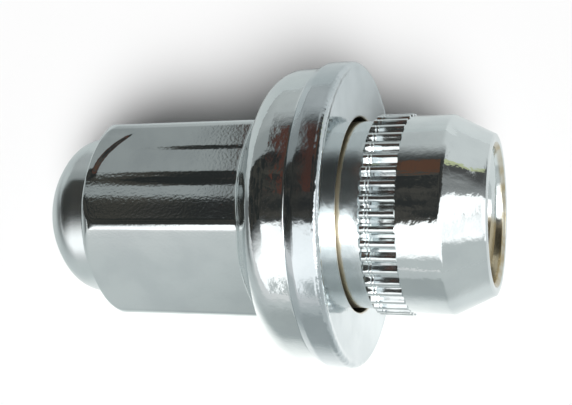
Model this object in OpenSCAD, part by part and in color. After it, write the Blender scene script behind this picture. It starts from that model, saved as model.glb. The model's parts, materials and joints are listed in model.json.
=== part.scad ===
// Closed-end wheel nut with a captive washer, lying on a flat surface.
// Each piece is built along its own axis, from the dome tip at z = 0 up to the open end,
// and is then laid down on the flange's edge and on the end of one hex flat.

/* [Thread] */
// Nominal diameter of the stud thread
thread_d = 14; // [12:0.5:14.5]
// Pitch of the stud thread
thread_pitch = 1.5; // [1:0.25:2]
// Depth of the blind hole from the open end to where its straight wall stops
bore_depth = 38; // [24:0.5:40]
// Included angle of the drill point at the bottom of the hole
drill_angle = 118; // [90:1:140]
// Diameter of the countersunk mouth
mouth_d = 15.6; // [14.5:0.1:16]

/* [Hex] */
// Width across flats
hex_af = 22; // [19:0.25:24]
// How much is rounded off between two opposite corners
corner_loss = 0.4; // [0.1:0.1:1]
// Length of the hex at its corners, from the dome to the flange
hex_len = 20; // [14:0.1:28]

/* [Dome] */
// Diameter of the domed cap
dome_d = 18.8; // [14:0.2:18.8]
// Straight wall under the dome
dome_wall = 1.9; // [0.5:0.1:4]
// Height of the dome above its wall
dome_rise = 6.3; // [5.2:0.1:8]
// Radius where the crown turns into the wall
knuckle_r = 4; // [2:0.1:4.5]

/* [Flange] */
// Diameter of the one-piece flange
flange_d = 33.1; // [30:0.1:33.6]
// Length of the flange along the axis
flange_len = 6.6; // [6:0.1:9]
// Angle between the flange's sloping back and the axis
flange_slope = 60; // [45:1:80]
// Radius where the sloping back turns into the flange's edge
flange_round = 3.4; // [0.5:0.1:3.8]
// Bevel at the flange's front edge
flange_bevel = 0.25; // [0.1:0.05:0.5]

/* [Washer] */
// Outer diameter of the captive washer
washer_d = 34.3; // [34:0.1:37]
// Thickness of the washer
washer_t = 3.5; // [2.6:0.1:4.2]
// Rounding of the washer's front rim
washer_round = 0.6; // [0.2:0.05:1]
// Length of the slope on the washer's back rim
washer_slope_len = 0.8; // [0.2:0.05:1]
// How far that slope draws the back rim in
washer_draw = 0.3; // [0.1:0.05:0.6]
// Small bevel at both ends of the washer's hole
hole_bevel = 0.2; // [0.05:0.05:0.4]
// Gap all round between the washer's hole and the neck
washer_slack = 0.5; // [0.3:0.05:0.6]
// Gap between the washer's back and the flange
washer_float = 0.05; // [0.02:0.01:0.3]

/* [Shank] */
// Diameter of the smooth shank
shank_d = 21.8; // [20.6:0.1:23]
// How far the neck is set in below the shank
neck_step = 0.45; // [0.3:0.05:0.8]
// Length of the neck, from the flange to the knurl
neck_len = 5.65; // [4.8:0.05:8]
// Length of the smooth shank between the knurl and the taper
plain_len = 4.65; // [2:0.05:10]
// Length of the tapered end
taper_len = 4.2; // [2:0.1:6]
// Diameter of the open end
end_d = 17.7; // [17.4:0.1:19]
// Bevel round the open end
end_bevel = 0.35; // [0.1:0.05:0.5]

/* [Knurl] */
// Length of the straight knurl that holds the washer on
knurl_len = 4; // [2:0.1:6]
// Number of teeth
knurl_teeth = 44; // [24:1:60]
// How far the teeth stand above the washer's hole
knurl_catch = 0.2; // [0.1:0.05:0.4]
// Depth from the tips of the teeth to the valleys
knurl_depth = 0.5; // [0.3:0.05:0.6]
// Share of the pitch that a tooth's flat tip takes
tip_share = 0.2; // [0.1:0.02:0.5]
// Share of the pitch that the valley takes
valley_share = 0.14; // [0.1:0.02:0.3]
// Length of the ramp at the washer's side of the teeth
knurl_ramp = 0.4; // [0.3:0.1:1.2]

/* [Hidden] */

$fn = 96;
arc_steps = 10;

// Radii
corner_r = hex_af / sqrt(3) - corner_loss / 2;
dome_r = dome_d / 2;
shoulder_r = corner_r - dome_r;
flange_r = flange_d / 2;
washer_r = washer_d / 2;
shank_r = shank_d / 2;
neck_r = shank_r - neck_step;
hole_r = neck_r + washer_slack;
tip_r = hole_r + knurl_catch;
valley_r = tip_r - knurl_depth;
end_r = end_d / 2;
mouth_r = mouth_d / 2;
// Tap-drill size: a metric thread's tips stand 1.0825 pitches in from the nominal diameter
minor_factor = 1.0825;
bore_r = (thread_d - minor_factor * thread_pitch) / 2;
// The crown is a ball that meets the knuckle without a crease
crown_r = (pow(dome_rise, 2) + pow(dome_r - knuckle_r, 2) - pow(knuckle_r, 2))
        / (2 * (dome_rise - knuckle_r));
crown_angle = asin((dome_r - knuckle_r) / (crown_r - knuckle_r));

// Stations along the axis, from the dome tip
hex_z = dome_rise + dome_wall;
flange_z = hex_z + hex_len;
seat_z = flange_z + flange_len;
knurl_z = seat_z + neck_len;
plain_z = knurl_z + knurl_len;
taper_z = plain_z + plain_len;
end_z = taper_z + taper_len;
washer_z = seat_z + washer_float;
bore_floor_z = end_z - bore_depth;

// The flange's sloping back meets the hex's corners at flange_z. It runs on inwards past the
// flats, and outwards into an arc about this point
turn_r = flange_r - flange_round;
turn_z = flange_z + (flange_round + (turn_r - corner_r) * cos(flange_slope)) / sin(flange_slope);

// The nut lies on two points of its underside: the end of a hex flat, and the edge of the
// flange or the washer's rim, whichever reaches lower
flat_end = [hex_af / 2, hex_z + shoulder_r - sqrt(pow(shoulder_r, 2) - pow(hex_af / 2 - dome_r, 2))];
rest_tilt = max(
    lean([turn_r, turn_z] - flat_end, flange_round),
    lean([washer_r, washer_z + washer_slope_len] - flat_end, 0));
rest_height = flat_end.x * cos(rest_tilt) - flat_end.y * sin(rest_tilt);
low_x = crown_r * (cos(rest_tilt) - 1);
high_x = end_z * cos(rest_tilt) + (end_r - end_bevel) * sin(rest_tilt);

// Material that one solid runs on into the next, so that they join
overlap = 1;

// The ramp of the teeth starts a little inside the neck and runs on past their tips
ramp_sink = 0.1;
ramp_slope = knurl_ramp / (tip_r - neck_r + ramp_sink);

// How far the axis leans when the underside lies on a round edge of radius r, at the offset d
function lean(d, r) = atan2(d.x, d.y) + asin(r / norm(d));

// Points along an arc about the centre c
function arc(c, r, from, to) =
    [for (i = [0 : arc_steps]) let (a = from + (to - from) * i / arc_steps) c + r * [cos(a), sin(a)]];

// A point on the circle of radius r at the angle a
function polar(r, a) = r * [cos(a), sin(a)];

// Outline of the toothed band: flat tips and flat valleys, joined by straight flanks
function knurl_outline() =
    let (pitch = 360 / knurl_teeth)
    [for (i = [0 : knurl_teeth - 1]) for (side = [-1, 1]) for (corner = [0, 1])
        let (on_tip = side < 0 ? corner == 1 : corner == 0,
             share = on_tip ? tip_share : 1 - valley_share)
        polar(on_tip ? tip_r : valley_r, pitch * (i + side * share / 2))];

// Half outline of the dome, its shoulder and the round bar that the hex is cut from
module hex_blank() {
    rotate_extrude() polygon(concat(
        [[0, 0]],
        arc([0, crown_r], crown_r, -90, -90 + crown_angle),
        arc([dome_r - knuckle_r, dome_rise], knuckle_r, -90 + crown_angle, 0),
        arc([dome_r, hex_z + shoulder_r], shoulder_r, -90, 0),
        [[corner_r, flange_z + overlap], [0, flange_z + overlap]]));
}

// Dome and hex, with a flat on the side that the nut lies on
module hex_end() {
    intersection() {
        hex_blank();
        rotate([0, 0, 30]) cylinder(r = hex_af / sqrt(3), h = flange_z + overlap, $fn = 6);
    }
}

// Flange, whose back slopes out from the end of the hex
module flange() {
    root_r = hex_af / 2 - overlap;
    root_z = flange_z - (corner_r - root_r) / tan(flange_slope);
    rotate_extrude() polygon(concat(
        [[0, seat_z], [0, root_z], [root_r, root_z]],
        arc([turn_r, turn_z], flange_round, -flange_slope, 0),
        [[flange_r, seat_z - flange_bevel], [flange_r - flange_bevel, seat_z]]));
}

// Neck, smooth shank and tapered end
module shank() {
    rotate_extrude() polygon([
        [0, seat_z - overlap], [neck_r, seat_z - overlap], [neck_r, plain_z], [shank_r, plain_z],
        [shank_r, taper_z], [end_r, end_z - end_bevel], [end_r - end_bevel, end_z], [0, end_z]]);
}

// Straight teeth that keep the washer on, ramped on the washer's side
module knurl() {
    intersection() {
        translate([0, 0, knurl_z]) linear_extrude(height = knurl_len) polygon(knurl_outline());
        rotate_extrude() polygon([
            [0, knurl_z], [neck_r - ramp_sink, knurl_z],
            [tip_r + overlap, knurl_z + knurl_ramp + ramp_slope * overlap],
            [tip_r + overlap, plain_z + overlap], [0, plain_z + overlap]]);
    }
}

// Blind hole for the stud: countersunk mouth, straight wall at tap-drill size, drill point
module stud_hole() {
    rotate_extrude() polygon([
        [0, end_z + overlap], [mouth_r + overlap, end_z + overlap],
        [bore_r, end_z - mouth_r + bore_r], [bore_r, bore_floor_z],
        [0, bore_floor_z - bore_r / tan(drill_angle / 2)]]);
}

// Lays a piece down as the nut comes to rest, with its open end towards +X
module lie_down() {
    translate([-(low_x + high_x) / 2, 0, rest_height]) rotate([0, 90 - rest_tilt, 0]) children();
}

module nut_body() {
    color("silver") lie_down() difference() {
        union() {
            hex_end();
            flange();
            shank();
            knurl();
        }
        stud_hole();
    }
}

module captive_washer() {
    color("gainsboro") lie_down() translate([0, 0, washer_z]) rotate_extrude() polygon(concat(
        [[hole_r + hole_bevel, 0], [washer_r - washer_draw, 0], [washer_r, washer_slope_len]],
        arc([washer_r - washer_round, washer_t - washer_round], washer_round, 0, 90),
        [[hole_r + hole_bevel, washer_t], [hole_r, washer_t - hole_bevel], [hole_r, hole_bevel]]));
}

nut_body();
captive_washer();
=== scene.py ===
"""A chromed lug nut with a captive washer, lying on a sheet of white card.

The nut and its washer are turned here as fine meshes round their own axis, in millimetres, with the
dome's tip at z = 0 and the open end up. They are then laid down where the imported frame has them."""

import json
import math
from collections import namedtuple

import bmesh
import bpy
from mathutils import Matrix, Vector


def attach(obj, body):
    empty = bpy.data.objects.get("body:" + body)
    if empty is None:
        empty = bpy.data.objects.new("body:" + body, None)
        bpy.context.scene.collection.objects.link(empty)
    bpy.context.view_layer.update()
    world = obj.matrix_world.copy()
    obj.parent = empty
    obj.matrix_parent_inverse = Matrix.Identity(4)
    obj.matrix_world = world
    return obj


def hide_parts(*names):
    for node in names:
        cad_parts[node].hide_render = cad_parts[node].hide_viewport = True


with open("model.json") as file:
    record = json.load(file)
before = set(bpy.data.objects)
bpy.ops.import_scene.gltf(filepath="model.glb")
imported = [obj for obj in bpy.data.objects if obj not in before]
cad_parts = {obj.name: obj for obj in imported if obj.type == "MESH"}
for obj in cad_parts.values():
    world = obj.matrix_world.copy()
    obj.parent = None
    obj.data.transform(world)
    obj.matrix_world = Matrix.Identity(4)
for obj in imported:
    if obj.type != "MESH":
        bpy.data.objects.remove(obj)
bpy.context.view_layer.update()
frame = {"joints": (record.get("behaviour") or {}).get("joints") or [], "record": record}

# ---------------------------------------------------------------- sizes, in millimetres

MM = 0.001
mounts = {mount["name"]: mount for mount in frame["record"]["mounts"]}
washer_spin = frame["joints"][0]

# Stud thread, 0.54 of its pitch deep as metric threads are, and its blind hole
thread_pitch = 1.5
thread_depth = 0.54125 * thread_pitch
thread_root = thread_pitch * 7 / 8
thread_crest = thread_pitch / 4
thread_facets = 60
root_sink = 0.02
thread_lead = 0.2
mouth_lead = 1
bore_r = mounts["stud_thread"]["dims"]["r_mm"]
thread_r = bore_r + thread_depth
bore_depth = 38
untapped_len = 3
tap_run_out = 0.6
drill_half_angle = math.radians(59)
mouth_r = 7.8
mouth_lead_r = 7.4
plated_depth = 2.3

# Dome and hex
hex_apothem = 11
corner_rounding = 1.3
corner_r = (hex_apothem - corner_rounding) / math.cos(math.radians(30)) + corner_rounding
hex_len = 20
dome_r = 9.4
dome_wall = 1.9
dome_rise = 6.3
knuckle_r = 4
shoulder_r = corner_r - dome_r
shoulder_root = 0.35
shoulder_softness = 0.45
crown_r = (dome_rise**2 + (dome_r - knuckle_r) ** 2 - knuckle_r**2) / (2 * (dome_rise - knuckle_r))
crown_angle = math.degrees(math.asin((dome_r - knuckle_r) / (crown_r - knuckle_r)))

# Flange, and how far the hollow corner between the hex and its sloping back runs in and out
flange_r = 16.55
flange_len = 6.6
flange_slope = math.radians(60)
flange_round = 3.4
flange_bevel = 0.25
corner_run_in = 2.3
corner_run_out = 0.6
corner_softness = 0.5

# Washer
washer_r = 17.15
washer_t = 3.5
washer_round = 0.6
washer_slope = 0.8
washer_draw = 0.3
washer_float = 0.05
hole_bevel = 0.2

# Shank, neck and knurl
shank_r = mounts["shank_pilot"]["dims"]["r_mm"]
neck_r = shank_r - 0.45
neck_fillet = 0.3
neck_len = 5.65
hole_r = neck_r + 0.5
knurl_len = 4
knurl_teeth = 44
tip_r = hole_r + 0.2
valley_r = tip_r - 0.5
tip_share = 0.2
valley_share = 0.14
knurl_ramp = 0.4
ramp_sink = 0.1
ring_marks = (0.95, 1.3)
ring_width = 0.08
ring_depth = 0.06
flank_share = 0.8
plain_len = 4.65
taper_len = 4.2
end_r = 8.85
end_bevel = 0.35

# Soft corners at the shank's end, as steps along the axis and inwards from where the faces meet
taper_corner = ((-0.35, 0), (-0.15, 0.01), (0, 0.07), (0.18, 0.16), (0.4, 0.27))
end_corner = ((-end_bevel - 0.2, -0.1), (-end_bevel, 0), (-0.12, 0.1), (0, end_bevel))
mouth_corner = ((0, -0.12), (-0.03, -0.04), (-0.12, 0.05))

# Stations along the axis
hex_z = dome_rise + dome_wall
shoulder_z = hex_z + shoulder_r
flange_z = hex_z + hex_len
seat_z = flange_z + flange_len
washer_z = seat_z + washer_float
front_z = washer_z + washer_t
knurl_z = seat_z + neck_len
plain_z = knurl_z + knurl_len
taper_z = plain_z + plain_len
end_z = taper_z + taper_len
plated_z = end_z - plated_depth
bore_floor_z = end_z - bore_depth
tapped_z = bore_floor_z + untapped_len
drill_tip_z = bore_floor_z - bore_r / math.tan(drill_half_angle)

# Facets round the nut: 12 to each tooth of the knurl, and 88 to each flat of the hex
TURN_STEPS = 12 * knurl_teeth
WASHER_STEPS = 360

# A row of points this close to a station counts as lying at it
AT_STATION = 0.01

# Corners sharper than this stay sharp, in degrees
CREASE = 32

# Where the nut lies: its axis and the washer's middle come from the frame's joint
axis = Vector(washer_spin["axis"]).normalized()
dome_tip = Vector(washer_spin["pos_m"]) - axis * (washer_z + washer_t / 2) * MM
side = Vector((0, 1, 0))
LAY_DOWN = (
    Matrix.Translation(dome_tip)
    @ Matrix((side.cross(axis), side, axis)).transposed().to_4x4()
    @ Matrix.Scale(MM, 4)
)

# ---------------------------------------------------------------- materials

SMOOTH = {"interpolation_type": "SMOOTHSTEP"}

# How wide each kind of mark is, in millimetres. Real brush strokes and tool scores are finer: they
# are drawn this coarse so that they show.
pebble_width = 0.345
pit_width = 0.3125
haze_width = 4
rolling_width, rolling_length = 1.111, 9.09
nut_ripple_width = 1.613
brush_width, brush_length = 0.143, 1.25
washer_ripple_width = 1.818
press_mark_width = 0.625
bruise_width = 0.909
oil_width = 2.5
score_width, score_length = 0.143, 1.25

# How deep they are, in millimetres
pebble_depth = 0.003
pit_depth = 0.007
brush_depth = 0.003
bruise_depth = 0.12
score_depth = 0.02

# The top flat's rolling marks: where each lies across it, where along the nut it deepens, and how
# deep it is at both ends of that
rolling_marks = (
    ((-1.5, 0.55), (10, 18), (0.05, 0.13)),
    ((2.9, 3.7), (15, 22), (0.01, 0.04)),
)

# The trimming lip near the shoulder: a bowed step on one side of the top flat
lip_bow = 0.14
lip_start, lip_end = 9.2, 10.2
lip_side = 4.8
lip_side_softness = 0.8
lip_depth = 0.13

# How the top flat rounds over towards its front edge
rolled_edge_start, rolled_edge_end = -6.2, -2.6
rolled_edge_depth = 0.1

Place = namedtuple("Place", "point x y z radius")


def linear(code):
    """An sRGB colour code as a linear colour."""
    channels = [int(code[i : i + 2], 16) / 255 for i in (1, 3, 5)]
    return [c / 12.92 if c <= 0.04045 else ((c + 0.055) / 1.055) ** 2.4 for c in channels] + [1]


def add(tree, kind, inputs=(), out=0, **settings):
    """Adds a node with its settings. Its inputs, by place or by name, each take a value or the output
    that feeds them. Gives back one of the node's outputs."""
    node = tree.nodes.new("ShaderNode" + kind)
    for name, value in settings.items():
        setattr(node, name, value)
    pairs = inputs.items() if isinstance(inputs, dict) else enumerate(inputs)
    for socket, value in pairs:
        if isinstance(value, bpy.types.NodeSocket):
            tree.links.new(value, node.inputs[socket])
        else:
            node.inputs[socket].default_value = value
    return node.outputs[out] if node.outputs else None


def new_material(name):
    """An empty node material and its tree."""
    material = bpy.data.materials.new(name)
    material.use_nodes = True
    material.node_tree.nodes.clear()
    return material, material.node_tree


def place_on_nut(tree):
    """The place on the nut in millimetres: the point itself, its x, y and z, with z along the axis
    from the dome's tip and x down, and how far it is from the axis."""
    place, turn, scale = LAY_DOWN.decompose()
    point = add(
        tree,
        "Mapping",
        {
            "Vector": add(tree, "TexCoord", out="Object"),
            "Location": place,
            "Rotation": turn.to_euler(),
            "Scale": scale,
        },
        vector_type="TEXTURE",
    )
    x, y, z = [add(tree, "SeparateXYZ", (point,), out=i) for i in range(3)]
    off_axis = add(tree, "CombineXYZ", (x, y))
    radius = add(tree, "VectorMath", (off_axis,), out="Value", operation="LENGTH")
    return Place(point, x, y, z, radius)


def between(tree, value, start, end, edge):
    """1 between start and end and 0 outside, with soft edges."""
    rise = add(tree, "MapRange", (value, start - edge, start + edge), **SMOOTH)
    fall = add(tree, "MapRange", (value, end - edge, end + edge, 1, 0), **SMOOTH)
    return add(tree, "Math", (rise, fall), operation="MULTIPLY")


def summed(tree, parts):
    """The sum of several heights or shares, each one an output times a number or another output."""
    total = 0
    for value, times in parts:
        total = add(tree, "Math", (value, times, total), operation="MULTIPLY_ADD")
    return total


def bright_plating(name, bright, dulled_down, features):
    """Decorative chrome over bright nickel on steel: a mirror that keeps the unevenness of the steel
    under it. Its colour goes from bright to dulled_down. features gives how high the surface stands
    in mm, how rough it is beyond its own polish, and where the thin tan film lies that plating
    solution left as it dried."""
    material, tree = new_material(name)
    at = place_on_nut(tree)
    height, roughness, film = features(tree, at)
    pebbles = add(tree, "TexNoise", {"Vector": at.point, "Scale": 1 / pebble_width, "Detail": 3})
    haze = add(tree, "TexNoise", {"Vector": at.point, "Scale": 1 / haze_width, "Detail": 4})
    dulled = add(tree, "MapRange", (haze, 0.35, 0.7), **SMOOTH)
    colour = add(tree, "MixRGB", (dulled, linear(bright), linear(dulled_down)))
    relief = summed(tree, [(pebbles, pebble_depth), (height, 1)])
    shader = add(
        tree,
        "BsdfPrincipled",
        {
            "Base Color": add(tree, "MixRGB", (film, colour, linear("#B3A27C"))),
            "Metallic": 1,
            "Roughness": summed(tree, [(dulled, 0.04), (film, 0.2), (roughness, 1), (0.05, 1)]),
            "Normal": add(tree, "Bump", {"Height": relief, "Distance": MM, "Strength": 1}),
        },
    )
    add(tree, "OutputMaterial", (shader,))
    return material


def tapped_steel():
    """Carbon steel cut by the tap and never reached by the plating: dull, brown with old oil, and
    scored round the hole."""
    material, tree = new_material("tapped_carbon_steel")
    point = place_on_nut(tree).point
    oil = add(tree, "TexNoise", {"Vector": point, "Scale": 1 / oil_width, "Detail": 4})
    oiled = add(tree, "MapRange", (oil, 0.35, 0.65), **SMOOTH)
    drawn_round = (1 / score_length, 1 / score_length, 1 / score_width)
    round_hole = add(tree, "Mapping", {"Vector": point, "Scale": drawn_round})
    scores = add(tree, "TexNoise", {"Vector": round_hole, "Scale": 1, "Detail": 2})
    shader = add(
        tree,
        "BsdfPrincipled",
        {
            "Base Color": add(tree, "MixRGB", (oiled, linear("#9C9488"), linear("#6E5638"))),
            "Metallic": 1,
            "Roughness": add(tree, "MapRange", (oiled, 0, 1, 0.28, 0.5)),
            "Normal": add(
                tree, "Bump", {"Height": scores, "Distance": score_depth * MM, "Strength": 1}
            ),
        },
    )
    add(tree, "OutputMaterial", (shader,))
    return material


# ---------------------------------------------------------------- turned shapes


def arc(centre, radius, start, end, steps):
    """Points, as radius and height, along an arc. Its angles are in degrees from straight outwards."""
    angles = [math.radians(start + (end - start) * i / steps) for i in range(steps + 1)]
    return [(centre[0] + radius * math.cos(a), centre[1] + radius * math.sin(a)) for a in angles]


def soft_corner(radius, height, steps):
    """Points round a soft corner, given as steps along the axis and inwards from where it lies."""
    return [(radius - inwards, height + along) for along, inwards in steps]


def turned(profile, steps, closed=False):
    """A turned shape: the profile, given as radius and height, spun round the axis."""
    mesh = bmesh.new()
    points = [mesh.verts.new((radius, 0, height)) for radius, height in profile]
    for first, second in zip(points, points[1:]):
        mesh.edges.new((first, second))
    if closed:
        mesh.edges.new((points[-1], points[0]))
    bmesh.ops.spin(
        mesh,
        geom=mesh.verts[:] + mesh.edges[:],
        axis=(0, 0, 1),
        angle=math.tau,
        steps=steps,
        use_merge=True,
    )
    bmesh.ops.remove_doubles(mesh, verts=mesh.verts, dist=0.0005)
    return mesh


def finish_piece(name, mesh, body, materials, node=None):
    """Lays a piece down in its place, gives it its materials and its body, and lets it stand in for
    a node of the solid part where it has one."""
    bmesh.ops.recalc_face_normals(mesh, faces=mesh.faces)
    bmesh.ops.transform(mesh, matrix=LAY_DOWN, verts=mesh.verts)
    for face in mesh.faces:
        face.smooth = True
    data = bpy.data.meshes.new(name)
    mesh.to_mesh(data)
    mesh.free()
    for material in materials:
        data.materials.append(material)
    data.set_sharp_from_angle(angle=math.radians(CREASE))
    piece = bpy.data.objects.new(name, data)
    bpy.context.scene.collection.objects.link(piece)
    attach(piece, body)
    if node:
        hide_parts(node)


def outer(radius):
    """Whether a point this far from the axis lies outside the stud hole."""
    return radius > (thread_r + dome_r) / 2


def soft_least(first, second, width):
    """The smaller of two radii, with the corner between them rounded over width."""
    share = min(max(0.5 + (second - first) / (2 * width), 0), 1)
    return second + (first - second) * share - width * share * (1 - share)


def hex_reach(angle):
    """How far the hex reaches at an angle: flat sides, and corners rounded as forging leaves them."""
    off_flat = math.radians(abs((math.degrees(angle) + 30) % 60 - 30))
    to_rounding = (hex_apothem - corner_rounding) * math.tan(math.radians(30))
    if math.tan(off_flat) * hex_apothem <= to_rounding:
        return hex_apothem / math.cos(off_flat)
    to_centre = corner_r - corner_rounding
    off_corner = math.radians(30) - off_flat
    across = to_centre * math.sin(off_corner)
    return to_centre * math.cos(off_corner) + math.sqrt(corner_rounding**2 - across**2)


def tooth_reach(angle):
    """How far the knurl reaches at an angle: tips and valleys with worn corners."""
    off_tip = abs((math.degrees(angle) * knurl_teeth / 360 + 0.5) % 1 - 0.5)
    flank = min(max((off_tip - tip_share / 2) / (0.5 - tip_share / 2 - valley_share / 2), 0), 1)
    return tip_r - (tip_r - valley_r) * flank * flank * (3 - 2 * flank)


# ---------------------------------------------------------------- the nut

# The small hollow corner between the dome's wall and the hex's round shoulder
root_drop = math.sqrt((shoulder_r + shoulder_root) ** 2 - shoulder_root**2)
root_centre = (dome_r + shoulder_root, shoulder_z - root_drop)
root_turn = math.degrees(math.atan2(root_drop, shoulder_root))

# The flange's sloping back: where it leaves the hex, and the arc it runs into
cone_slope = math.tan(flange_slope)
cone_start = flange_z - corner_run_in / cone_slope
corner_end = flange_z + corner_run_out / cone_slope
corner_rows = 26
turn_r = flange_r - flange_round
turn_z = flange_z + (
    flange_round + (turn_r - corner_r) * math.cos(flange_slope)
) / math.sin(flange_slope)

# In these half outlines a row of points close beside a corner keeps the corner's shading narrow


def dome_outline():
    """The dome: its crown, the knuckle it turns down over, and its short straight wall."""
    knuckle = (dome_r - knuckle_r, dome_rise)
    return (
        arc((0, crown_r), crown_r, -90, -90 + crown_angle, 14)
        + arc(knuckle, knuckle_r, -90 + crown_angle, 0, 14)[1:]
        + [(dome_r, root_centre[1] - 0.1)]
    )


def hex_outline():
    """The shoulder that runs out from the dome, and the hex as far as its corners reach."""
    return (
        arc(root_centre, shoulder_root, 180, 180 - root_turn, 6)
        + arc((dome_r, shoulder_z), shoulder_r, -root_turn, 0, 34)[1:]
        + [(corner_r, shoulder_z + 0.15), (corner_r, shoulder_z + 0.4)]
        + [(corner_r, cone_start - 0.6), (corner_r, cone_start - 0.3)]
    )


def flange_outline():
    """The flange: its sloping back, its round and the flat face that the washer lies on."""
    corner_run = corner_run_in + corner_run_out
    runs = [corner_run * i / corner_rows - corner_run_in for i in range(corner_rows + 1)]
    edge = (flange_r - flange_bevel, seat_z - flange_bevel)
    return (
        [(corner_r + run, flange_z + run / cone_slope) for run in runs]
        + arc((turn_r, turn_z), flange_round, -math.degrees(flange_slope), 0, 14)
        + [(flange_r, edge[1] - 0.1)]
        + arc(edge, flange_bevel, 0, 90, 4)
    )


def knurl_outline():
    """The neck and the knurl's tips, with their short ramp and the ring marks across them."""
    fillet = (neck_r + neck_fillet, seat_z + neck_fillet)
    ramp_slope = knurl_ramp / (tip_r - neck_r + ramp_sink)
    ramp_heights = [knurl_z + knurl_ramp * i / 10 for i in range(11)]
    return (
        [(fillet[0], seat_z)]
        + arc(fillet, neck_fillet, -90, -180, 4)[1:]
        + [(neck_r, knurl_z - 0.02)]
        + [(min(neck_r - ramp_sink + (z - knurl_z) / ramp_slope, tip_r), z) for z in ramp_heights]
        + [
            (tip_r - depth, knurl_z + place + off)
            for place in ring_marks
            for off, depth in ((-ring_width, 0), (0, ring_depth), (ring_width, 0))
        ]
        + [(tip_r, plain_z)]
    )


def shank_outline():
    """The plain shank, its soft corner into the taper, and the rounded edge of the open end."""
    return (
        [(shank_r, plain_z + 0.03), (shank_r, plain_z + 0.2)]
        + soft_corner(shank_r, taper_z, taper_corner)
        + soft_corner(end_r, end_z, end_corner)
    )


def hole_outline():
    """The stud hole: its countersunk mouth, its flared and its tapped wall, and its drilled floor."""
    return (
        soft_corner(mouth_r, end_z, mouth_corner)
        + [(mouth_lead_r, end_z - mouth_r + mouth_lead_r), (thread_r, plated_z)]
        + [(thread_r, tapped_z), (bore_r, tapped_z - tap_run_out)]
        + [(bore_r, bore_floor_z), (0, drill_tip_z)]
    )


def nut_outline():
    """Half outline of the whole nut, before the hex and the knurl are cut in."""
    return (
        dome_outline()
        + hex_outline()
        + flange_outline()
        + knurl_outline()
        + shank_outline()
        + hole_outline()
    )


def nut_reach(radius, angle, height):
    """How far out a point of the turned nut belongs, once the hex, the hollow corner at the flange
    and the knurl's teeth are cut. The shoulder's edge is crisper towards the hex's corners, and the
    teeth's flanks take only a share of the ramp and the ring marks."""
    reach = hex_reach(angle)
    if height < hex_z:
        return radius
    if height <= shoulder_z + AT_STATION:
        softness = min(shoulder_softness, 0.02 + (corner_r - reach) / 2)
        return soft_least(radius, reach, softness)
    if height <= cone_start - AT_STATION:
        return reach
    if height <= corner_end + AT_STATION:
        return -soft_least(-radius, -reach, corner_softness)
    if knurl_z - AT_STATION <= height <= plain_z + AT_STATION:
        tooth = tooth_reach(angle) - (tip_r - radius) * flank_share
        return max(neck_r, min(radius, tooth))
    return radius


def shape_nut(mesh):
    """Moves every outer point of the turned nut to where its forged and rolled faces are."""
    for vert in mesh.verts:
        radius = math.hypot(vert.co.x, vert.co.y)
        if outer(radius):
            angle = math.atan2(vert.co.y, vert.co.x)
            scale = nut_reach(radius, angle, vert.co.z) / radius
            vert.co.x *= scale
            vert.co.y *= scale


def top_flat_marks(tree, at, waver):
    """The top flat: two rolling marks that deepen towards the flange, a trimming lip near the
    shoulder, a rolled edge and fine pits."""
    parts = []
    wavering_y = add(tree, "Math", (waver, 0.5, at.y), operation="MULTIPLY_ADD")
    for across, along, depths in rolling_marks:
        mark = add(tree, "MapRange", (wavering_y, *across), **SMOOTH)
        parts.append((mark, add(tree, "MapRange", (at.z, *along, *depths), **SMOOTH)))
    bow = add(tree, "Math", (at.y, at.y), operation="MULTIPLY")
    before_lip = summed(tree, [(bow, lip_bow), (at.z, -1)])
    lip = add(tree, "MapRange", (before_lip, -lip_end, -lip_start), **SMOOTH)
    on_side = between(tree, at.y, 0, lip_side, lip_side_softness)
    parts.append((lip, add(tree, "Math", (on_side, lip_depth), operation="MULTIPLY")))
    rolled_edge = add(tree, "MapRange", (at.y, rolled_edge_start, rolled_edge_end), **SMOOTH)
    parts.append((rolled_edge, rolled_edge_depth))
    pits = add(tree, "TexNoise", {"Vector": at.point, "Scale": 1 / pit_width, "Detail": 2})
    parts.append((pits, pit_depth))
    return summed(tree, parts)


def rolled_relief(tree, at):
    """What rolling left along the top of the nut: the top flat's marks, and a shallower one on the
    shank."""
    drawn_out = (1 / rolling_width, 1 / rolling_width, 1 / rolling_length)
    rolled = add(tree, "Mapping", {"Vector": at.point, "Scale": drawn_out})
    waver = add(tree, "TexNoise", {"Vector": rolled, "Scale": 1, "Detail": 2})
    flat_marks = top_flat_marks(tree, at, waver)
    on_flat = add(tree, "MapRange", (at.z, flange_z - 0.2, flange_z + 0.6, 1, 0), **SMOOTH)
    drawn_y = add(tree, "Math", (waver, 0.9, at.y), operation="MULTIPLY_ADD")
    shank_mark = add(tree, "MapRange", (drawn_y, -1.2, 0.95, 0, 0.095), **SMOOTH)
    on_shank = add(tree, "MapRange", (at.z, seat_z, knurl_z), **SMOOTH)
    marks = summed(tree, [(flat_marks, on_flat), (shank_mark, on_shank)])
    on_top = add(tree, "MapRange", (at.x, -9, -10), **SMOOTH)
    return add(tree, "Math", (marks, on_top), operation="MULTIPLY")


def brushed_relief(tree, at, on_dome):
    """Brush strokes that run up the dome."""
    drawn_out = (1 / brush_width, 1 / brush_width, 1 / brush_length)
    brushed = add(tree, "Mapping", {"Vector": at.point, "Scale": drawn_out})
    strokes = add(tree, "TexNoise", {"Vector": brushed, "Scale": 1, "Detail": 2})
    depth = add(tree, "Math", (on_dome, brush_depth), operation="MULTIPLY")
    return add(tree, "Math", (strokes, depth), operation="MULTIPLY")


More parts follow.
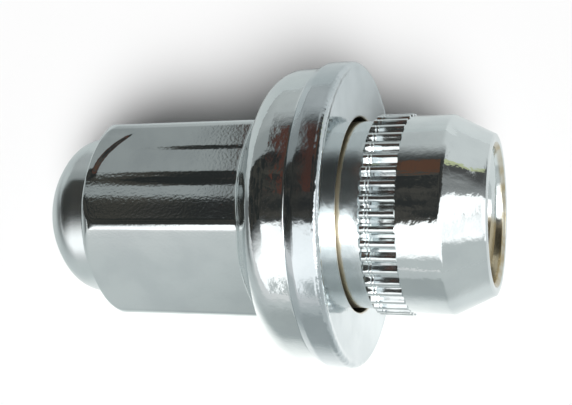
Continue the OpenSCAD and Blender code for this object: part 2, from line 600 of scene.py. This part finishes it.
def nut_film(tree, at, blotches):
    """Where the dried film lies on the nut: in blotches beside the washer, on the countersink and low
    in the hole's mouth."""
    uneven_z = add(tree, "Math", (blotches, -0.5, at.z), operation="MULTIPLY_ADD")
    beside_washer = between(tree, uneven_z, seat_z, front_z, 0.15)
    uneven = add(tree, "MapRange", (blotches, 0.35, 0.7, 0.45, 0.9), **SMOOTH)
    inside_mouth = add(tree, "MapRange", (at.radius, mouth_r, mouth_r + 0.1, 1, 0), **SMOOTH)
    on_countersink = add(tree, "MapRange", (at.z, end_z - 0.7, end_z - 0.3), **SMOOTH)
    in_hole = between(tree, at.z, plated_z - 0.3, end_z - 0.4, 0.2)
    low_in_hole = add(tree, "MapRange", (at.y, 3, 1.8, 0, 0.8), **SMOOTH)
    mouth_film = summed(tree, [(on_countersink, uneven), (in_hole, low_in_hole)])
    return summed(tree, [(beside_washer, 0.65), (inside_mouth, mouth_film)])


def nut_features(tree, at):
    """The nut's plating: rolling marks along its top, a rippled flange and shank, a brushed dome, a
    dull hollow corner behind the flange, a satin neck, and the film."""
    ripple = add(tree, "TexNoise", {"Vector": at.point, "Scale": 1 / nut_ripple_width, "Detail": 3})
    past_hex = add(tree, "MapRange", (at.z, flange_z - 0.5, flange_z + 1.5), **SMOOTH)
    ripple_depth = add(tree, "MapRange", (past_hex, 0, 1, 0.0015, 0.035))
    on_dome = add(tree, "MapRange", (at.z, hex_z - 0.2, hex_z, 1, 0), **SMOOTH)
    in_corner = between(tree, at.z, flange_z - 0.1, flange_z + 1.2, 0.1)
    on_neck = between(tree, at.z, seat_z, knurl_z + 0.2, 0.1)
    on_knurl = between(tree, at.z, knurl_z + 0.3, plain_z - 0.1, 0.1)
    height = summed(
        tree,
        [
            (ripple, ripple_depth),
            (rolled_relief(tree, at), 1),
            (brushed_relief(tree, at, on_dome), 1),
        ],
    )
    roughness = summed(tree, [(on_dome, 0.14), (in_corner, 0.1), (on_neck, 0.11), (on_knurl, 0.08)])
    return height, roughness, nut_film(tree, at, ripple)


nut_plating = bright_plating("chrome_plated_forged_steel", "#DCE2E2", "#D4DADB", nut_features)
bare_steel = tapped_steel()


def nut_shell():
    """The whole nut as one turned and cut shape, plated but for the tapped part of its hole."""
    mesh = turned(nut_outline(), TURN_STEPS)
    shape_nut(mesh)
    for face in mesh.faces:
        centre = face.calc_center_median()
        in_hole = drill_tip_z < centre.z < plated_z and not outer(math.hypot(centre.x, centre.y))
        face.material_index = 1 if in_hole else 0
    finish_piece("nut_shell", mesh, "nut", [nut_plating, bare_steel], "nut_body")


def hole_wall(height):
    """How far out the hole's wall lies behind the thread. It flares over the plated mouth."""
    flare = (mouth_lead_r - thread_r) / (plated_depth - mouth_r + mouth_lead_r)
    return thread_r + max(height - plated_z, 0) * flare


def stud_thread():
    """The right-hand ridge that the tap leaves in the hole, cut back by the countersink at its mouth.
    Its root is sunk a little into the wall."""
    mesh = bmesh.new()
    start = tapped_z + thread_lead
    turns = (end_z - mouth_lead - start) / thread_pitch
    steps = round(turns * thread_facets)
    section = [
        mesh.verts.new((radius, 0, start + height))
        for radius, height in (
            (thread_r + root_sink, -thread_root / 2),
            (bore_r, -thread_crest / 2),
            (bore_r, thread_crest / 2),
            (thread_r + root_sink, thread_root / 2),
        )
    ]
    for first, second in zip(section, section[1:] + section[:1]):
        mesh.edges.new((first, second))
    bmesh.ops.spin(
        mesh,
        geom=mesh.verts[:] + mesh.edges[:],
        axis=(0, 0, 1),
        dvec=(0, 0, turns * thread_pitch / steps),
        angle=math.tau * turns,
        steps=steps,
    )
    bmesh.ops.holes_fill(mesh, edges=[edge for edge in mesh.edges if edge.is_boundary], sides=4)
    for vert in mesh.verts:
        radius = math.hypot(vert.co.x, vert.co.y)
        wall = hole_wall(vert.co.z)
        countersink = min(mouth_r - (end_z - vert.co.z), wall)
        reach = wall + root_sink if radius > thread_r else max(radius, countersink)
        vert.co.x *= reach / radius
        vert.co.y *= reach / radius
    for face in mesh.faces:
        face.material_index = 1 if face.calc_center_median().z > plated_z else 0
    finish_piece("stud_thread", mesh, "nut", [bare_steel, nut_plating])


nut_shell()
stud_thread()

# ---------------------------------------------------------------- the washer


def washer_features(tree, at):
    """The washer's plating: a rippled rim with pressing marks across it and bruises round its front,
    a smoother face, and the film at the edge of the hole."""
    on_rim = add(tree, "MapRange", (at.radius, washer_r - 1, washer_r - 0.3), **SMOOTH)
    ripple = add(
        tree, "TexNoise", {"Vector": at.point, "Scale": 1 / washer_ripple_width, "Detail": 3}
    )
    ripple_depth = add(tree, "MapRange", (on_rim, 0, 1, 0.012, 0.03))
    press_marks = add(
        tree,
        "TexNoise",
        {"Vector": at.point, "Scale": 1 / press_mark_width, "Detail": 4, "Roughness": 0.65},
    )
    press_depth = add(tree, "MapRange", (on_rim, 0, 1, 0.001, 0.008))
    bruises = add(tree, "TexNoise", {"Vector": at.point, "Scale": 1 / bruise_width, "Detail": 2})
    on_round = add(tree, "MapRange", (at.z, front_z - washer_round - 0.2, front_z - 0.1), **SMOOTH)
    on_front_rim = add(tree, "Math", (on_round, on_rim), operation="MULTIPLY")
    rim_depth = add(tree, "Math", (on_front_rim, bruise_depth), operation="MULTIPLY")
    height = summed(
        tree, [(ripple, ripple_depth), (press_marks, press_depth), (bruises, rim_depth)]
    )
    roughness = add(tree, "MapRange", (on_rim, 0, 1, 0.04, 0.03))
    uneven_r = add(tree, "Math", (ripple, -0.3, at.radius), operation="MULTIPLY_ADD")
    film = add(tree, "MapRange", (uneven_r, hole_r - 0.05, hole_r + 0.12, 0.55, 0), **SMOOTH)
    return height, roughness, film


def washer_outline():
    """Half outline of the washer: a pressed ring with a rolled front rim and a sloped back rim."""
    back_r = washer_r - washer_draw
    hole_edge = hole_r + hole_bevel
    front = (washer_r - washer_round, front_z - washer_round)
    return (
        [(hole_edge, washer_z), (hole_edge + 0.2, washer_z)]
        + [(back_r - 0.2, washer_z), (back_r - 0.04, washer_z + 0.02), (back_r, washer_z + 0.1)]
        + [(washer_r - 0.06, washer_z + washer_slope - 0.12)]
        + [(washer_r - 0.015, washer_z + washer_slope), (washer_r, washer_z + washer_slope + 0.2)]
        + [(washer_r, front[1] - 0.15)]
        + arc(front, washer_round, 0, 90, 8)
        + [(front[0] - 0.15, front_z), (hole_edge + 0.15, front_z)]
        + arc((hole_edge, front_z - hole_bevel), hole_bevel, 90, 180, 4)
        + [(hole_r, washer_z + hole_bevel), (hole_r + 0.06, washer_z + 0.06)]
    )


# The washer's plating is darker than the nut's: painted shade, standing in for the duller room that
# its face mirrors
washer_plating = bright_plating("chrome_plated_pressed_steel", "#CAD1D4", "#C0C8CB", washer_features)


def washer_ring():
    """The captive washer, turned as one closed ring."""
    mesh = turned(washer_outline(), WASHER_STEPS, closed=True)
    finish_piece("washer_ring", mesh, "washer", [washer_plating], "captive_washer")


washer_ring()

# ---------------------------------------------------------------- studio

# How strong the lamp is as light and as the plating mirrors it, and how much of the room's light
# falls on the nut
lamp_strength = 36
lamp_in_mirror = 8
room_strength = 0.03

# Where the lamp hangs on the turned disc of directions, and the radii it fades between
box_turn = math.radians(-35)
lamp_place = (-0.162, -0.438, 0)
lamp_core = 0.02
lamp_rim = 0.224

# How bright the softbox's cloth and the window at the right are
white_cloth = [1.5, 1.5, 1.5, 1]
side_window = [2.2, 2.2, 2.15, 1]

# Half the width of the card, in metres
card_reach = 1.5


def soft_patch(tree, limits):
    """1 where every coordinate lies between its own start and end, and 0 outside. Each limit is a
    coordinate, its start and end, and how soft the edge is."""
    share = 1
    for value, start, end, edge in limits:
        inside = between(tree, value, start, end, edge)
        share = add(tree, "Math", (inside, share), operation="MULTIPLY")
    return share


def painted(tree, ground, patches):
    """A ground colour with soft patches of other colours painted over it in turn."""
    for limits, shade in patches:
        ground = add(tree, "MixRGB", (soft_patch(tree, limits), ground, shade))
    return ground


def white_card():
    """White card, matt and even to the eye. The plating mirrors it with painted light and shade: a
    painted pool of light close to the nut, lighter to the right, painted shade in front, and a
    painted shadow to the left, where someone stands in the light."""
    material, tree = new_material("white_card")
    point = add(tree, "TexCoord", out="Object")
    x, y = [add(tree, "SeparateXYZ", (point,), out=i) for i in range(2)]
    away = add(tree, "VectorMath", (point,), out="Value", operation="LENGTH")
    to_right = add(tree, "MapRange", (x, -0.02, 0.05), **SMOOTH)
    # Painted light and shade that only the plating sees: lighter to the right, duller in front, a
    # painted shadow to the left and a painted pool of light close to the nut
    mirrored_light_and_shade = painted(
        tree,
        add(tree, "MixRGB", (to_right, linear("#CBD1D1"), linear("#E6EAEA"))),
        [
            ([(y, -2, -0.035, 0.015)], linear("#CDD2D2")),
            ([(x, -0.025, 0.04, 0.015), (y, -0.11, -0.032, 0.008)], linear("#B2B8B8")),
            ([(x, -1, -0.06, 0.03), (y, -2, -0.085, 0.02)], linear("#ECECEC")),
            # A painted shadow to the left, where someone stands in the light
            ([(x, -1, -0.07, 0.03), (y, -0.045, 0.02, 0.02)], linear("#757878")),
            # A painted pool of light close to the nut
            ([(away, -1, 0.028, 0.009)], linear("#FEFEFC")),
        ],
    )
    in_mirror = add(tree, "LightPath", out="Is Glossy Ray")
    card = add(tree, "MixRGB", (in_mirror, linear("#FAFAFA"), mirrored_light_and_shade))
    # The card runs out to plain white away from the nut, for the camera alone
    beside_nut = add(tree, "VectorMath", (point, (0.6, 1, 0)), operation="MULTIPLY")
    run_out = add(tree, "VectorMath", (beside_nut,), out="Value", operation="LENGTH")
    whiteness = add(tree, "MapRange", (run_out, 0.02, 0.05, 0, 0.8), **SMOOTH)
    seen = add(tree, "LightPath", out="Is Camera Ray")
    seen_white = add(tree, "Math", (seen, whiteness), operation="MULTIPLY")
    lit = add(tree, "BsdfDiffuse", (card,))
    white = add(tree, "Emission", (linear("#FDFDFD"), 1))
    add(tree, "OutputMaterial", (add(tree, "MixShader", (seen_white, lit, white)),))
    return material


def studio_floor():
    """A wide sheet of white card."""
    mesh = bmesh.new()
    bmesh.ops.create_grid(mesh, x_segments=2, y_segments=2, size=card_reach)
    data = bpy.data.meshes.new("floor")
    mesh.to_mesh(data)
    mesh.free()
    data.materials.append(white_card())
    floor = bpy.data.objects.new("floor", data)
    bpy.context.scene.collection.objects.link(floor)


def sky_disc(tree):
    """Where a direction lies on a disc: its middle is straight up, its rim the horizon, its right is
    +X and its top +Y."""
    ray = add(tree, "TexCoord", out="Generated")
    height = add(tree, "SeparateXYZ", (ray,), out="Z")
    from_top = add(tree, "Math", (height,), operation="ARCCOSINE")
    level = add(tree, "VectorMath", (ray, (1, 1, 0)), operation="MULTIPLY")
    outwards = add(tree, "VectorMath", (level,), operation="NORMALIZE")
    to_rim = add(tree, "Math", (from_top, 2 / math.pi), operation="MULTIPLY")
    return add(tree, "VectorMath", {0: outwards, "Scale": to_rim}, operation="SCALE")


def mirrored_room(tree, disc, across_box):
    """The room as the plating shows it, painted on the disc of directions: pale behind, with a dark
    ceiling, two walls and a large softbox over the front."""
    x, y = [add(tree, "SeparateXYZ", (disc,), out=i) for i in range(2)]
    to_right = add(tree, "MapRange", (x, -0.9, 0.5), **SMOOTH)
    pale_room = add(tree, "MixRGB", (to_right, linear("#ABAFAF"), linear("#E0E4E4")))
    up_left = add(tree, "MapRange", (y, -0.66, -0.3), **SMOOTH)
    left_wall = add(tree, "MixRGB", (up_left, white_cloth, linear("#515353")))
    up_right = add(tree, "MapRange", (y, 0.05, 0.3), **SMOOTH)
    right_wall = add(tree, "MixRGB", (up_right, linear("#9B9D9D"), linear("#555555")))
    clutter = add(tree, "TexNoise", {"Vector": disc, "Scale": 9, "Detail": 4, "Roughness": 0.6})
    darkness = add(tree, "MapRange", (clutter, 0.42, 0.62), **SMOOTH)
    dark_left = add(tree, "MixRGB", (darkness, linear("#2B2E2E"), linear("#484641")))
    dark_ceiling = add(tree, "MixRGB", (darkness, linear("#313333"), linear("#4C4A46")))
    box_limits = [
        (x, -1.4, 0.39, 0.02),
        (y, -0.82, 0.5, 0.04),
        (across_box, -1.5, -0.165, 0.012),
    ]
    return painted(
        tree,
        pale_room,
        [
            ([(y, -2, -0.4, 0.06)], linear("#CED3D3")),
            ([(x, -1.4, -0.37, 0.02), (y, -1.6, 0, 0.02)], left_wall),
            ([(x, -0.9, -0.36, 0.05), (y, 0.2, 0.52, 0.1)], linear("#9DA2A2")),
            # The dark ceiling, with wooden beams across it and down its left side
            ([(x, -0.385, 0.27, 0.02), (y, -0.5, 0.58, 0.12)], linear("#4B4D4D")),
            ([(x, -1.4, -0.36, 0.015), (y, -0.3, 0.262, 0.014)], dark_left),
            ([(x, -0.385, 0.27, 0.03), (y, -0.5, 0.44, 0.03)], dark_ceiling),
            ([(x, -0.3, -0.1, 0.03), (y, 0.2, 0.43, 0.02)], linear("#5F4538")),
            ([(x, -0.375, -0.335, 0.008), (y, -0.1, 0.5, 0.01)], linear("#5A3B33")),
            # The right wall, with a pale yellow rail along it
            ([(x, 0.27, 0.4, 0.015), (y, -0.3, 0.39, 0.012)], right_wall),
            ([(x, 0.27, 0.5, 0.015), (y, 0.385, 0.43, 0.01)], linear("#C7CDA2")),
            # The softbox, the cloth that hangs on past its two ends, and a window low on the right
            (box_limits, white_cloth),
            ([(x, -0.45, -0.335, 0.02), (y, -0.8, -0.345, 0.02)], white_cloth),
            ([(x, 0.39, 0.66, 0.03), (y, -0.5, -0.2, 0.04)], white_cloth),
            ([(x, 0.88, 1.2, 0.03), (y, 0, 0.3, 0.05)], side_window),
        ],
    )


def studio_world():
    """Soft studio light from a lamp in the softbox over the front. The room round it shows in the
    plating but lights the nut only faintly, and the camera sees plain white."""
    world = bpy.data.worlds.new("studio")
    bpy.context.scene.world = world
    world.use_nodes = True
    tree = world.node_tree
    tree.nodes.clear()
    disc = sky_disc(tree)
    turned_disc = add(tree, "Mapping", {"Vector": disc, "Rotation": (0, 0, box_turn)})
    across_box = add(tree, "SeparateXYZ", (turned_disc,), out="Y")
    room = mirrored_room(tree, disc, across_box)
    in_mirror = add(tree, "LightPath", out="Is Glossy Ray")
    strength = add(tree, "MapRange", (in_mirror, 0, 1, room_strength, 1))
    faint_room = add(tree, "MixRGB", (1, room, strength), blend_type="MULTIPLY")

    off_lamp = add(tree, "VectorMath", (turned_disc, lamp_place), out="Value", operation="DISTANCE")
    glare = add(tree, "MapRange", (in_mirror, 0, 1, lamp_strength, lamp_in_mirror))
    lamp = add(tree, "MapRange", (off_lamp, lamp_core, lamp_rim, glare, 0), **SMOOTH)
    colour = add(tree, "MixRGB", (1, faint_room, lamp), blend_type="ADD")
    light = add(tree, "Background", (colour, 1))
    white = add(tree, "Background", (linear("#FFFFFF"), 1))
    seen = add(tree, "LightPath", out="Is Camera Ray")
    add(tree, "OutputWorld", (add(tree, "MixShader", (seen, light, white)),))


def studio_camera():
    """The camera looks down on the nut from the front, with its top leaning to the right."""
    eye = Vector((15.72, -44.31, 116.99)) * MM
    sight = Vector((-0.1274, 0.4081, -0.904))
    lean = Matrix.Rotation(math.radians(-10.27), 3, "Z")
    data = bpy.data.cameras.new("camera")
    data.lens = 60.67
    data.clip_start = 5 * MM
    camera = bpy.data.objects.new("camera", data)
    camera.location = eye
    camera.rotation_euler = (sight.to_track_quat("-Z", "Y").to_matrix() @ lean).to_euler()
    bpy.context.scene.collection.objects.link(camera)
    bpy.context.scene.camera = camera


studio_floor()
studio_world()
studio_camera()

bpy.context.scene.view_settings.view_transform = "Standard"
